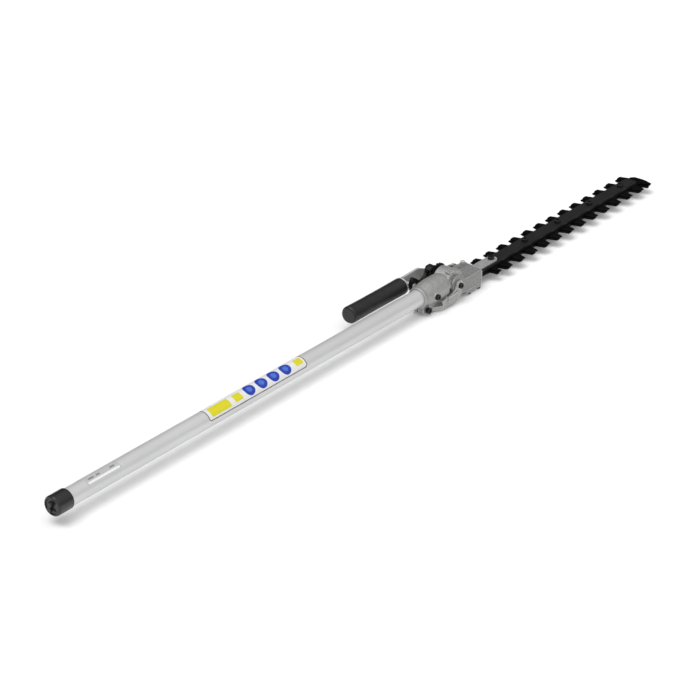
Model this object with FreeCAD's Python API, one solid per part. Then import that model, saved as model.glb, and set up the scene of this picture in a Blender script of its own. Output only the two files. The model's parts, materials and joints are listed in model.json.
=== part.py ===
"""Pole hedge trimmer: a split-shaft attachment with an articulated gear head and a double-sided blade.

+X runs along the pole towards the blade tip, +Y towards the side handle and +Z up, square to the
blade.  The origin is on the pole's axis where its bare coupling seat begins, at the end cap's rim.
"""
import FreeCAD, Part
import math
import os

V = FreeCAD.Vector
X = V(1, 0, 0)
Y = V(0, 1, 0)
Z = V(0, 0, 1)

# ---- driving dimensions, millimetres ----
# pole and its bare coupling end
POLE_R = 13.2              # lacquered tube
SEAT_R = 13.0              # bare tube that a coupling clamps on
TAIL_R = 12.8              # turned end under the cap
RELIEF_R = 12.5            # relief groove between the turned end and the seat
BORE_R = 11.5
TAIL_X = -25.0
RELIEF_X = -2.0
SEAT_END_X = 30.0
CAP_R = 14.75
CAP_END_X = -28.0
CAP_RIM_X = -0.4

# gear head
PIVOT_X = 834.0            # transverse axis that the head tilts about
COLLAR_X = 757.0           # mouth of the clamp collar
POLE_END_X = 800.0
DRUM_R = 22.0              # round joint housing
DRUM_HALF = 14.0
DRUM_BORE_R = 18.4
TRUNNION_R = 10.5
CASE_FRONT_X = 897.0
CASE_HALF = 20.0
CASE_BOTTOM_Z = -21.0
KEEL_Z = -28.0             # lowest point, what the trimmer lies on
EAR_R = 14.2               # round ears of the tilting head
CLAMP_X = 767.0            # screw across the collar's slit
CLAMP_Z = -19.5
LOCATING_X = 780.0         # screw whose tip enters a hole in the pole
COVER_SCREW_R = 14.4       # screws of the housing's round cover, about the tilt axis
COVER_SCREW_ANGLES = (60, 180, 300)

# gear train: drive shaft, cross shaft, idler, jack shaft and crank
SHAFT_R = 4.0
PINION_R = 7.0             # back radius of the bevel pinions
WHEEL_R = 10.5             # back radius of the bevel wheel they drive
INPUT_BEARING_R = 11.0
INPUT_BEARING_X = POLE_END_X + 3.0
BEARING_R = 8.0            # outside of the ball bearings on the cross shaft and the crank
JACK_BEARING_R = 4.7
CRANK_BUSH_R = 5.0
SEATED = 0.02              # gap between a bearing and what it's pressed into
CRANK_X = PIVOT_X + 33.0   # crank axis
JACK_Z = -6.0              # jack shaft's axis meets the crank's at this height
JACK_R = 2.0
IDLER_X = PIVOT_X + 17.8
IDLER_Z = -8.5
IDLER_PIN_R = 2.0
NEAR_WALL_Y = -14.3        # inner face of the near cheek
NEAR_COVER_Y = -18.6       # inner face of the near cover
NEAR_FACE_Y = -20.4
GEAR_Y0 = -18.4            # the spur gears under the near cover
GEAR_Y1 = -16.4
BRACKET_Y0 = -22.8         # bracket outside the near cover that holds the pivot screw
BRACKET_Y1 = -20.8
PLUG_X = CASE_FRONT_X - 12.0
PLUG_Z = 11.8              # top of the lug that the grease plug screws into
BOTTOM_SCREWS = [(x, y) for x in (CRANK_X - 1.0, CASE_FRONT_X - 6.0) for y in (-17.6, 17.6)]
FRONT_SCREW_YS = (-15.0, 15.0)
FRONT_SCREW_Z = -3.4

# blade
PITCH = 34.2
TOOTH_ROOT = 8.8           # half width of a tooth at its root
TOOTH_TIP = 4.7            # and at its tip
BLADE_BODY = 13.5          # half width of the blade between its teeth
BLADE_HALF = 29.0
BLADE_T = 2.4
FAR_TOOTH_X = 941.3
FAR_TEETH = 13
NEAR_TOOTH_X = 958.4
NEAR_TEETH = 12
BLADE_END_X = 1369.0
BLADE_TAIL_X = 899.0
LOWER_Z = -16.0
UPPER_Z = -13.4
BAR_Z = -10.8
BAR_T = 4.5
BAR_HALF = 11.0
BAR_END_X = 1350.0
REST_SHIFT = 3.0           # each blade's place along X at rest, one each way
CRANK_THROW = 4.5
SCREW_XS = [948.0 + 91.5 * i for i in range(5)]
SCREW_BORE_R = 3.05
BUSH_R = 4.0
LINK_X0 = CRANK_X + 1.5    # forked links between the blades and the eccentrics
LINK_X1 = CRANK_X + 24.0
LINK_HALF = 13.9
TONGUE_T = 2.4
TONGUE_HALF = 8.6

# side handle
GRIP_Y = 45.0
GRIP_R = 13.4
GRIP_X0 = 648.0
GRIP_X1 = 777.0
ROD_R = 6.0                # rod inside the grip
ARM_FACE_Y = 24.0          # where the handle's arm bolts to the blade case
ARM_T = 4.0
ARM_SCREWS = ((CRANK_X + 2.0, -4.0), (CRANK_X + 19.0, -4.0))
LEVER_X = 789.0            # lock lever's pin
LEVER_PIN_R = 2.5
INDEX_Y = 17.5
INDEX_T = 3.2
INDEX_R = 24.0
INDEX_STEP = 17.0          # degrees from tooth to tooth
INDEX_LOW = 38             # angles of the first and last tooth
INDEX_HIGH = 191

FIT = 0.05                 # radial clearance between parts that run or slot together


# ---- helpers ----
def cyl(r, start, end):
    """A round bar from one point to another."""
    start, end = V(*start), V(*end)
    return Part.makeCylinder(r, (end - start).Length, start, end - start)


def tube(r_out, r_in, start, end):
    return cyl(r_out, start, end).cut(cyl(r_in, start, end))


def cone(r0, r1, start, end):
    start, end = V(*start), V(*end)
    return Part.makeCone(r0, r1, (end - start).Length, start, end - start)


def block(low, high):
    return Part.makeBox(high[0] - low[0], high[1] - low[1], high[2] - low[2], V(*low))


def prism(points, normal, low, high):
    """Extrude an outline: (x, y) pairs along Z, (x, z) pairs along Y or (y, z) pairs along X."""
    place = {"Z": lambda a, b: V(a, b, low), "Y": lambda a, b: V(a, low, b), "X": lambda a, b: V(low, a, b)}
    way = {"X": X, "Y": Y, "Z": Z}[normal]
    ring = [place[normal](a, b) for a, b in points]
    return Part.Face(Part.makePolygon(ring + ring[:1])).extrude(way * (high - low))


def turned(profile):
    """Turn an outline of (x, radius) pairs about the pole's axis."""
    ring = [V(x, 0, r) for x, r in profile]
    return Part.Face(Part.makePolygon(ring + ring[:1])).revolve(V(0, 0, 0), X, 360)


def fuse(shapes):
    whole = shapes[0].multiFuse(shapes[1:]) if len(shapes) > 1 else shapes[0]
    return whole.removeSplitter()


def rounded(shape, radius, wanted):
    """Round the edges that wanted() picks."""
    edges = [edge for edge in shape.Edges if wanted(edge)]
    return shape.makeFillet(radius, edges) if edges else shape


def along(axis):
    """Pick straight edges parallel to an axis."""
    def test(edge):
        if not isinstance(edge.Curve, Part.Line):
            return False
        way = edge.Vertexes[1].Point - edge.Vertexes[0].Point
        return way.Length > 0 and abs(way.normalize().dot(axis)) > 0.999
    return test


def socket_screw(at, way, head_r, head_h, shank_r, shank_l, hex_r):
    """A socket head screw: at is the underside of its head, way points from the head to the tip."""
    way = V(*way)
    at = V(*at)
    top = at - way * head_h
    head = Part.makeCylinder(head_r, head_h, top, way)
    head = head.makeChamfer(0.12 * head_r, [head.Edges[i] for i in range(len(head.Edges))
                                            if (head.Edges[i].CenterOfMass - top).Length < 0.01])
    side = way.cross(Z) if abs(way.dot(Z)) < 0.9 else X
    other = way.cross(side)
    ring = []
    for i in range(6):
        turn = math.radians(60 * i)
        ring.append(top + side * (hex_r * math.cos(turn)) + other * (hex_r * math.sin(turn)))
    socket = Part.Face(Part.makePolygon(ring + ring[:1])).extrude(way * (0.6 * head_h))
    return fuse([head, Part.makeCylinder(shank_r, shank_l, at, way)]).cut(socket)


def bevel_gear(apex, way, back_r, back_d, toe_share, teeth, hub_t):
    """A bevel gear with its cone's tip at apex: way points from its back to the tip."""
    apex, way = V(*apex), V(*way)
    back = apex - way * back_d
    toe = apex - way * (back_d * toe_share)
    gear = Part.makeCone(back_r, back_r * toe_share, back_d * (1 - toe_share), back, way)
    gear = gear.fuse(Part.makeCylinder(back_r, hub_t, back - way * hub_t, way))
    side = way.cross(Z) if abs(way.dot(Z)) < 0.9 else X
    other = way.cross(side)
    grooves = []
    for i in range(teeth):
        turn = 2 * math.pi * i / teeth
        out = side * math.cos(turn) + other * math.sin(turn)
        start = back - way * hub_t * 2 + out * (back_r * (1 + 2 * hub_t / back_d))
        end = toe + way * 1.0 + out * (back_r * (toe_share - 1.0 / back_d))
        groove_r = 0.36 * math.pi * back_r / teeth
        grooves.append(Part.makeCylinder(groove_r, (end - start).Length, start, end - start))
    return gear.cut(Part.makeCompound(grooves))


def spur_gear(centre, root_r, tip_r, teeth, low_y, high_y):
    """A spur gear about an axis along Y, with straight-sided teeth."""
    points = []
    for i in range(teeth):
        for share, r in ((-0.30, root_r), (-0.14, tip_r), (0.14, tip_r), (0.30, root_r)):
            turn = 2 * math.pi * (i + share) / teeth
            points.append((centre[0] + r * math.cos(turn), centre[1] + r * math.sin(turn)))
    return prism(points, "Y", low_y, high_y)


def ball_bearing(r_out, r_in, start, end):
    """Outer and inner race with a ring of balls between them, kept apart as separate solids."""
    start, end = V(*start), V(*end)
    way = (end - start).normalize()
    width = (end - start).Length
    mid_r = (r_out + r_in) / 2
    ball_r = (r_out - r_in) * 0.24
    race = (r_out - r_in) * 0.30
    outer = tube(r_out, r_out - race, start, end)
    inner = tube(r_in + race, r_in, start, end)
    groove = Part.makeTorus(mid_r, ball_r + FIT, start + way * (width / 2), way)
    side = way.cross(Z) if abs(way.dot(Z)) < 0.9 else X
    other = way.cross(side)
    balls = []
    for i in range(8):
        turn = 2 * math.pi * i / 8
        out = side * math.cos(turn) + other * math.sin(turn)
        balls.append(Part.makeSphere(ball_r, start + way * (width / 2) + out * mid_r))
    return Part.makeCompound([outer.cut(groove), inner.cut(groove)] + balls)


def wrap(x0, x1, angle0, angle1, r_in, thickness):
    """A decal wrapped on the pole: angles run from +Y over +Z."""
    sweep = Part.makeCylinder(r_in + thickness, x1 - x0, V(x0, 0, 0), X, angle1 - angle0)
    sweep = sweep.cut(Part.makeCylinder(r_in, x1 - x0, V(x0, 0, 0), X))
    sweep.rotate(V(0, 0, 0), X, angle0 - 90)      # a part-turn cylinder about +X starts at +Z
    return sweep


def ring_point(radius, angle):
    """A point about the tilt axis: the angle runs from +X over +Z."""
    turn = math.radians(angle)
    return PIVOT_X + radius * math.cos(turn), radius * math.sin(turn)


NEAR_SCREWS = (ring_point(12.7, 125), ring_point(12.7, 215),
               (PIVOT_X + 42.5, -1.2), (PIVOT_X + 42.5, -16.0))


# ---- pole ----
def pole_tube():
    profile = [(TAIL_X, TAIL_R - 0.6), (TAIL_X + 0.6, TAIL_R), (RELIEF_X, TAIL_R), (RELIEF_X, RELIEF_R),
               (0, RELIEF_R), (0, SEAT_R), (SEAT_END_X, SEAT_R), (SEAT_END_X, POLE_R),
               (POLE_END_X, POLE_R), (POLE_END_X, BORE_R), (TAIL_X, BORE_R)]
    pole = turned(profile)
    return pole.cut(cyl(3.0, (LOCATING_X, -20, 0), (LOCATING_X, -5, 0)))


def end_cap():
    """Soft plug-on cap with a lobed face and a hanging tab, hollow to slide over the turned end."""
    r = CAP_R
    cap = turned([(CAP_END_X + 1.0, 0), (CAP_END_X + 1.0, r - 4.2), (CAP_END_X, r - 3.4),
                  (CAP_END_X, r - 2.2), (CAP_END_X + 0.4, r - 1.3), (CAP_END_X + 1.4, r - 0.4),
                  (CAP_END_X + 3.0, r),
                  (CAP_RIM_X - 1.0, r), (CAP_RIM_X, r - 0.8), (CAP_RIM_X, SEAT_R),
                  (TAIL_X - 0.2, SEAT_R), (TAIL_X - 0.2, 0)])
    lobe = fuse([cone(4.6, 3.4, (CAP_END_X + 1.5, 1.5, 2.6), (CAP_END_X - 3.6, 1.5, 2.6)),
                 cone(4.4, 3.6, (CAP_END_X + 1.5, 3.4, -5.2), (CAP_END_X - 2.6, 3.4, -5.2))])
    groove = tube(r - 3.6, r - 4.6, (CAP_END_X - 1, 0, 0), (CAP_END_X + 1.9, 0, 0))
    hole = cyl(2.3, (CAP_END_X - 5, -5.0, -4.2), (CAP_END_X + 2.2, -5.0, -4.2))
    return fuse([cap, lobe]).cut(groove).cut(hole)


def shaft_bushes():
    """Four bushes that steady the drive shaft inside the pole."""
    rings = []
    for x in (90, 320, 550, 740):
        rings.append(tube(BORE_R - FIT, SHAFT_R + FIT, (x, 0, 0), (x + 22, 0, 0)))
    return Part.makeCompound(rings)


# ---- clamp and rear gear case ----
def rear_gear_case():
    """Clamp collar, conical neck and round joint housing in one casting, with a bracket on its near side."""
    nose = turned([(COLLAR_X, 0), (COLLAR_X, 15.6), (COLLAR_X + 1.2, 16.8), (COLLAR_X + 5, 16.9),
                   (COLLAR_X + 7, 16.3), (COLLAR_X + 20, 19.2), (COLLAR_X + 34, 20.2), (PIVOT_X - 24, 20.2),
                   (PIVOT_X - 17, 19.4), (PIVOT_X - 12, 17.4), (PIVOT_X - 9, 15.0), (PIVOT_X - 9, 0)])
    # the tilting head sweeps past here, under the axis and beside the housing
    under = block((PIVOT_X - 27.5, -40, -40), (PIVOT_X + 4, 40, -8))
    near_side = block((PIVOT_X - 22.6, -40, -40), (PIVOT_X + 4, -DRUM_HALF, 1.5))
    near_ring = cyl(EAR_R + 0.6, (PIVOT_X, -40, 0), (PIVOT_X, -DRUM_HALF, 0))
    far_side = block((PIVOT_X - 24.5, DRUM_HALF, -40), (PIVOT_X + 4, 40, 40))
    far_flat = block((PIVOT_X - 46, INDEX_Y - 0.2, -40), (PIVOT_X + 4, 40, 40))
    for tool in (under, near_side, near_ring, far_side, far_flat):
        nose = nose.cut(tool)
    drum = cyl(DRUM_R, (PIVOT_X, -DRUM_HALF, 0), (PIVOT_X, DRUM_HALF, 0))
    drum = rounded(drum, 1.6, lambda edge: edge.Length > 2 * math.pi * DRUM_R - 1)
    lug = rounded(block((COLLAR_X + 1, -11, -25), (COLLAR_X + 21, 11, -10)), 4.5, along(Y))
    keel = prism([(COLLAR_X + 14, -12), (COLLAR_X + 10, -22), (COLLAR_X + 22, KEEL_Z),
                  (PIVOT_X - 32, KEEL_Z), (PIVOT_X - 28.5, -25), (PIVOT_X - 28.5, -12)], "Y", -13.0, 13.0)
    keel = rounded(keel, 1.5, along(Y))
    pad = block((PIVOT_X - 13, -12.0, 14), (PIVOT_X - 4, -3, 23.4))
    pad.rotate(V(PIVOT_X, 0, 0), X, 6)
    boss = cyl(5.8, (LOCATING_X, NEAR_FACE_Y, 0), (LOCATING_X, -12, 0))
    near_trunnion = cyl(TRUNNION_R, (PIVOT_X, -15.9, 0), (PIVOT_X, -DRUM_HALF + 1, 0))
    case = fuse([nose, drum, lug, keel, boss, pad, pivot_bracket(), near_trunnion])
    # room for the pole, the pinion and the cross shaft
    hollow = [cyl(POLE_R + FIT, (COLLAR_X - 1, 0, 0), (POLE_END_X, 0, 0)),
              cyl(10.0, (POLE_END_X - 1, 0, 0), (INPUT_BEARING_X, 0, 0)),
              cyl(INPUT_BEARING_R + SEATED, (INPUT_BEARING_X, 0, 0), (INPUT_BEARING_X + 7, 0, 0)),
              cyl(INPUT_BEARING_R + 0.6, (INPUT_BEARING_X + 7.1, 0, 0), (INPUT_BEARING_X + 8.3, 0, 0)),
              cyl(9.6, (INPUT_BEARING_X + 6, 0, 0), (PIVOT_X, 0, 0)),
              cyl(DRUM_BORE_R, (PIVOT_X, -11.4, 0), (PIVOT_X, DRUM_HALF + 1, 0)),
              cyl(BEARING_R + SEATED, (PIVOT_X, -15.6, 0), (PIVOT_X, -11, 0)),
              cyl(5.2, (PIVOT_X, -17, 0), (PIVOT_X, -15, 0))]
    # clamp slit and screw holes
    hollow += [block((COLLAR_X - 1, -1.3, -30), (COLLAR_X + 31, 1.3, -12)),
               cyl(3.05, (CLAMP_X, -20, CLAMP_Z), (CLAMP_X, 20, CLAMP_Z)),
               cyl(2.95, (LOCATING_X, -24, 0), (LOCATING_X, -12, 0)),
               cyl(3.05, (PIVOT_X, BRACKET_Y0 - 1, 0), (PIVOT_X, BRACKET_Y1 + 0.5, 0))]
    for tool in hollow:
        case = case.cut(tool)
    return case.removeSplitter()


def pivot_bracket():
    """Bracket that rises outside the head from the case's lower near side to the pivot screw."""
    plate = prism([(PIVOT_X - 42, -12.5), (PIVOT_X - 40, -23), (PIVOT_X - 28, -26), (PIVOT_X - 15, -26),
                   (PIVOT_X - 4, -23), (PIVOT_X + 5, -16), (PIVOT_X + 7.8, -6), (PIVOT_X + 7.4, 0),
                   (PIVOT_X - 6.6, 3.5), (PIVOT_X - 9.5, -3.5), (PIVOT_X - 18, -8.5), (PIVOT_X - 28, -10)],
                  "Y", BRACKET_Y0, BRACKET_Y1)
    ring = cyl(7.6, (PIVOT_X, BRACKET_Y0 - 0.6, 0), (PIVOT_X, BRACKET_Y1, 0))
    ridge = fuse([cyl(5.4, (PIVOT_X - 23, BRACKET_Y0 - 1.8, -15), (PIVOT_X - 23, BRACKET_Y1, -15)),
                  cyl(4.6, (PIVOT_X - 5, BRACKET_Y0 - 1.8, -12.5), (PIVOT_X - 5, BRACKET_Y1, -12.5)),
                  prism([(PIVOT_X - 23.4, -9.6), (PIVOT_X - 5.3, -7.9), (PIVOT_X - 4.7, -17.1),
                         (PIVOT_X - 22.5, -20.4)], "Y", BRACKET_Y0 - 1.8, BRACKET_Y1)])
    root = block((PIVOT_X - 40, BRACKET_Y0, -23), (PIVOT_X - 28.5, -9, -12.5))
    flange = prism([(CLAMP_X + 8, -9), (CLAMP_X + 10, -13.5), (PIVOT_X - 41, BRACKET_Y0),
                    (PIVOT_X - 28.5, BRACKET_Y0), (PIVOT_X - 28.5, -9)], "Z", -24.0, -19.0)
    return fuse([plate, ring, ridge, root, flange])


def drum_cover():
    """Round cover that closes the joint housing; its trunnion carries the head and the index plate."""
    disc = cyl(DRUM_BORE_R - FIT, (PIVOT_X, 11.0, 0), (PIVOT_X, DRUM_HALF, 0))
    stub = cyl(TRUNNION_R, (PIVOT_X, DRUM_HALF - 1, 0), (PIVOT_X, INDEX_Y, 0))
    key = block((PIVOT_X - 4, INDEX_Y - 1, -4), (PIVOT_X + 4, INDEX_Y + 2.2, 4))
    cover = fuse([disc, stub, key])
    cover = cover.cut(cyl(BEARING_R + SEATED, (PIVOT_X, 10, 0), (PIVOT_X, 15.3, 0)))
    cover = cover.cut(cyl(1.6, (PIVOT_X, 16, 0), (PIVOT_X, 25, 0)))
    for angle in COVER_SCREW_ANGLES:
        x, z = ring_point(COVER_SCREW_R, angle)
        cover = cover.cut(cyl(1.6, (x, 10, z), (x, 20, z)))
    return cover


def index_plate():
    """Toothed quadrant that the lock lever drops into."""
    points = []
    angle = INDEX_LOW
    while angle <= INDEX_HIGH + 0.1:
        for share, r in ((-0.22, INDEX_R), (0.22, INDEX_R), (0.38, INDEX_R - 3.0), (0.62, INDEX_R - 3.0)):
            points.append(ring_point(r, angle + share * INDEX_STEP))
        angle += INDEX_STEP
    for angle in (215, 240, 270, 300, 330, 0):
        points.append(ring_point(12.5, angle))
    plate = prism(points, "Y", INDEX_Y + FIT, INDEX_Y + INDEX_T)
    plate = plate.cut(block((PIVOT_X - 4.05, INDEX_Y - 1, -4.05), (PIVOT_X + 4.05, INDEX_Y + 10, 4.05)))
    return plate


def index_washer():
    return tube(8.5, 2.1, (PIVOT_X, INDEX_Y + INDEX_T, 0), (PIVOT_X, INDEX_Y + INDEX_T + 1.2, 0))


# ---- gears and shafts ----
def drive_shaft():
    shaft = cyl(SHAFT_R, (-12, 0, 0), (PIVOT_X - WHEEL_R - 2.0, 0, 0))
    square = rounded(block((-19, -2.8, -2.8), (-12, 2.8, 2.8)), 0.5, along(X))
    return fuse([shaft, square])


def input_bearing():
    end = INPUT_BEARING_X + 7
    return ball_bearing(INPUT_BEARING_R, SHAFT_R + SEATED, (INPUT_BEARING_X, 0, 0), (end, 0, 0))


def bearing_circlip():
    """Open spring ring that keeps the input bearing in its bore."""
    start = INPUT_BEARING_X + 7.2
    ring = tube(INPUT_BEARING_R + 0.5, 9.7, (start, 0, 0), (start + 1, 0, 0))
    return ring.cut(block((start - 1, -3, -14), (start + 2, 3, 0)))


def input_pinion():
    gear = bevel_gear((PIVOT_X, 0, 0), (1, 0, 0), PINION_R - 0.3, WHEEL_R, 0.62, 12, 2.5)
    return gear.cut(cyl(SHAFT_R, (PIVOT_X - 20, 0, 0), (PIVOT_X - WHEEL_R - 2.0, 0, 0)))


def cross_shaft():
    shaft = cyl(SHAFT_R, (PIVOT_X, GEAR_Y0, 0), (PIVOT_X, 14.8, 0))
    return fuse([shaft, cyl(5.6, (PIVOT_X, 9.6, 0), (PIVOT_X, 11.0, 0))])


def cross_bevel_gear():
    gear = bevel_gear((PIVOT_X, 0, 0), (0, -1, 0), WHEEL_R - 0.3, PINION_R, 0.62, 18, 2.4)
    return gear.cut(cyl(SHAFT_R, (PIVOT_X, -2, 0), (PIVOT_X, 20, 0)))


def cross_spur_gear():
    gear = spur_gear((PIVOT_X, 0), 8.6, 10.6, 20, GEAR_Y0, GEAR_Y1)
    return gear.cut(cyl(SHAFT_R, (PIVOT_X, -25, 0), (PIVOT_X, 0, 0)))


def idler_gear():
    gear = spur_gear((IDLER_X, IDLER_Z), 6.8, 8.75, 17, GEAR_Y0, GEAR_Y1)
    return gear.cut(cyl(IDLER_PIN_R + FIT, (IDLER_X, -25, IDLER_Z), (IDLER_X, 0, IDLER_Z)))


def idler_pin():
    return cyl(IDLER_PIN_R, (IDLER_X, GEAR_Y0, IDLER_Z), (IDLER_X, NEAR_WALL_Y - 0.3, IDLER_Z))


def jack_shaft():
    return cyl(JACK_R, (CRANK_X, GEAR_Y0, JACK_Z), (CRANK_X, -8.5, JACK_Z))


def jack_spur_gear():
    gear = spur_gear((CRANK_X, JACK_Z), 4.4, 6.3, 12, GEAR_Y0, GEAR_Y1)
    return gear.cut(cyl(JACK_R, (CRANK_X, -25, JACK_Z), (CRANK_X, 0, JACK_Z)))


def jack_bevel_gear():
    gear = bevel_gear((CRANK_X, 0, JACK_Z), (0, 1, 0), 4.2, WHEEL_R, 0.62, 8, 1.0)
    return gear.cut(cyl(JACK_R, (CRANK_X, -20, JACK_Z), (CRANK_X, -8.5, JACK_Z)))


def crank_gear():
    """Bevel wheel with the two eccentrics that work the blades, half a turn apart."""
    gear = bevel_gear((CRANK_X, 0, JACK_Z), (0, 0, -1), 9.3, 4.5, 0.62, 18, 1.6)
    turn = math.acos(REST_SHIFT / CRANK_THROW)
    dx, dy = CRANK_THROW * math.cos(turn), CRANK_THROW * math.sin(turn)
    upper = cyl(6.4, (CRANK_X + dx, dy, UPPER_Z + 0.1), (CRANK_X + dx, dy, UPPER_Z + BLADE_T - 0.1))
    lower = cyl(6.4, (CRANK_X - dx, -dy, LOWER_Z + 0.1), (CRANK_X - dx, -dy, LOWER_Z + BLADE_T - 0.1))
    core = cyl(4.5, (CRANK_X, 0, LOWER_Z - 1.2), (CRANK_X, 0, -1.0))
    journal = cyl(SHAFT_R, (CRANK_X, 0, -22.4), (CRANK_X, 0, -8.0))
    top = cyl(3.0, (CRANK_X, 0, -2.0), (CRANK_X, 0, 4.6))
    return fuse([gear, upper, lower, core, journal, top])


# ---- blade gear case ----
CASE_SECTION = [(-17.5, CASE_BOTTOM_Z), (17.5, CASE_BOTTOM_Z), (CASE_HALF, -18.5), (CASE_HALF, 1.5),
                (17.0, 4.0), (9.5, 9.0), (7.0, 10.0), (-7.0, 10.0), (-9.5, 9.0), (-17.0, 4.0),
                (-CASE_HALF, 1.5), (-CASE_HALF, -18.5)]


def stadium(x0, r0, x1, r1, low_y, high_y):
    """A round-ended plate in the XZ plane from one centre to another."""
    lean = math.acos((r0 - r1) / (x1 - x0))
    start = (r0 * math.cos(lean), r0 * math.sin(lean))
    end = (r1 * math.cos(lean), r1 * math.sin(lean))
    web = prism([(x0 + start[0], start[1]), (x1 + end[0], end[1]), (x1 + end[0], -end[1]),
                 (x0 + start[0], -start[1])], "Y", low_y, high_y)
    return fuse([cyl(r0, (x0, low_y, 0), (x0, high_y, 0)), cyl(r1, (x1, low_y, 0), (x1, high_y, 0)), web])


def near_ear(low_y, high_y, grow=0.0):
    """The near side's outline: a round ear on the pivot that widens into the gear train's wall."""
    web = prism([(PIVOT_X - 3, -13.8 - grow), (PIVOT_X + 5, 13.2 + grow), (PIVOT_X + 22, 1.5 + grow),
                 (PIVOT_X + 45 + grow, 1.5 + grow), (PIVOT_X + 45 + grow, -18.6 - grow),
                 (PIVOT_X + 16, -18.6 - grow)], "Y", low_y, high_y)
    return fuse([cyl(EAR_R + grow, (PIVOT_X, low_y, 0), (PIVOT_X, high_y, 0)), web])


def front_slope():
    """What is cut away where the case's front leans back above its mouth."""
    return prism([(CASE_FRONT_X - 11.5, 14), (CASE_FRONT_X - 11.5, 11.5), (CASE_FRONT_X - 1.5, 1.2),
                  (CASE_FRONT_X + 2, 1.2), (CASE_FRONT_X + 2, 14)], "Y", -30, 30)


def blade_gear_case():
    """Angular casting round the crank, with a ridged top and an ear on each side of the joint housing."""
    body = prism(CASE_SECTION, "X", PIVOT_X + 8, CASE_FRONT_X - 1.5)
    crown = rounded(block((PIVOT_X + 26, -5.2, 8), (CASE_FRONT_X - 8, 5.2, 11.0)), 2.0, along(Z))
    ribs = []
    for y, z in ((-9.5, 8.6), (9.5, 8.6)):
        ribs.append(block((PIVOT_X + 24, y - 1.1, z - 1.5), (CASE_FRONT_X - 1.5, y + 1.1, z + 1.5)))
    for y in (-CASE_HALF + 1.1, CASE_HALF - 1.1):
        ribs.append(block((PIVOT_X + 24, y - 1.1, 0), (CASE_FRONT_X - 1.5, y + 1.1, 3.2)))
    upper = fuse([body, crown] + ribs).cut(front_slope())
    lug = fuse([cyl(3.8, (PLUG_X, 8.5, 2), (PLUG_X, 8.5, PLUG_Z)),
                rounded(block((PLUG_X - 11, 2, 2), (PLUG_X + 3, 9.5, PLUG_Z - 1)), 1.5, along(Z))])
    near = near_ear(NEAR_COVER_Y, NEAR_WALL_Y)
    far = stadium(PIVOT_X, EAR_R, PIVOT_X + 26, 12.5, DRUM_HALF + 0.3, INDEX_Y - 0.3)
    flange = rounded(block((PIVOT_X + 20, NEAR_FACE_Y, CASE_BOTTOM_Z),
                           (CASE_FRONT_X - 2, -NEAR_FACE_Y, CASE_BOTTOM_Z + 3.0)), 3.0, along(Z))
    arm_boss = [cyl(4.5, (x, 15, z), (x, ARM_FACE_Y, z)) for x, z in ARM_SCREWS]
    case = fuse([upper, lug, near, far, flange] + arm_boss)
    # the round housing and the index plate turn in these hollows
    behind = block((PIVOT_X - 40, -40, -40), (PIVOT_X + 12, 40, 40))
    hollow = [cyl(DRUM_R + 0.6, (PIVOT_X, NEAR_WALL_Y, 0), (PIVOT_X, DRUM_HALF + 0.3, 0)),
              cyl(DRUM_R + 8, (PIVOT_X, -12, 0), (PIVOT_X, 12, 0)).common(behind),
              cyl(INDEX_R + 1.2, (PIVOT_X, INDEX_Y - 0.3, 0), (PIVOT_X, 30, 0)),
              cyl(TRUNNION_R + FIT, (PIVOT_X, -30, 0), (PIVOT_X, 30, 0)),
              near_ear(NEAR_FACE_Y - 5, NEAR_COVER_Y, 0.1)]
    # room for the links, the crank, its bearings and the gear train
    hollow += [block((CRANK_X - 11.4, -16.0, CASE_BOTTOM_Z - 1), (CASE_FRONT_X - 5, 16.0, -7.0)),
               cyl(9.9, (CRANK_X, 0, -12), (CRANK_X, 0, 0.7)),
               cyl(CRANK_BUSH_R + SEATED, (CRANK_X, 0, 0), (CRANK_X, 0, 5.2)),
               cyl(5.2, (CRANK_X, -12.0, JACK_Z), (CRANK_X, 0, JACK_Z)),
               cyl(JACK_BEARING_R + SEATED, (CRANK_X, -15.9, JACK_Z), (CRANK_X, -11.5, JACK_Z)),
               cyl(3.0, (CRANK_X, -17.0, JACK_Z), (CRANK_X, -15.0, JACK_Z)),
               cyl(11.2, (PIVOT_X, -20, 0), (PIVOT_X, -16.2, 0)),
               cyl(9.3, (IDLER_X, -20, IDLER_Z), (IDLER_X, -16.2, IDLER_Z)),
               cyl(6.9, (CRANK_X, -20, JACK_Z), (CRANK_X, -16.2, JACK_Z)),
               cyl(IDLER_PIN_R, (IDLER_X, -20, IDLER_Z), (IDLER_X, NEAR_WALL_Y - 0.3, IDLER_Z)),
               block((CASE_FRONT_X - 8, -14.2, LOWER_Z - 0.6), (CASE_FRONT_X + 1, 14.2, BAR_Z + BAR_T + 0.1)),
               cyl(2.6, (PLUG_X, 8.5, 5), (PLUG_X, 8.5, 15))]
    # screw holes
    hollow += [cyl(1.9, (x, 8, z), (x, 30, z)) for x, z in ARM_SCREWS]
    hollow += [cyl(1.15, (x, -20, z), (x, -15.3, z)) for x, z in NEAR_SCREWS]
    hollow += [cyl(1.7, (x, y, CASE_BOTTOM_Z - 1), (x, y, CASE_BOTTOM_Z + 2.3)) for x, y in BOTTOM_SCREWS]
    hollow += [cyl(1.45, (CASE_FRONT_X - 6, y, FRONT_SCREW_Z), (CASE_FRONT_X, y, FRONT_SCREW_Z))
               for y in FRONT_SCREW_YS]
    for tool in hollow:
        case = case.cut(tool)
    return case.removeSplitter()


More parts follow.
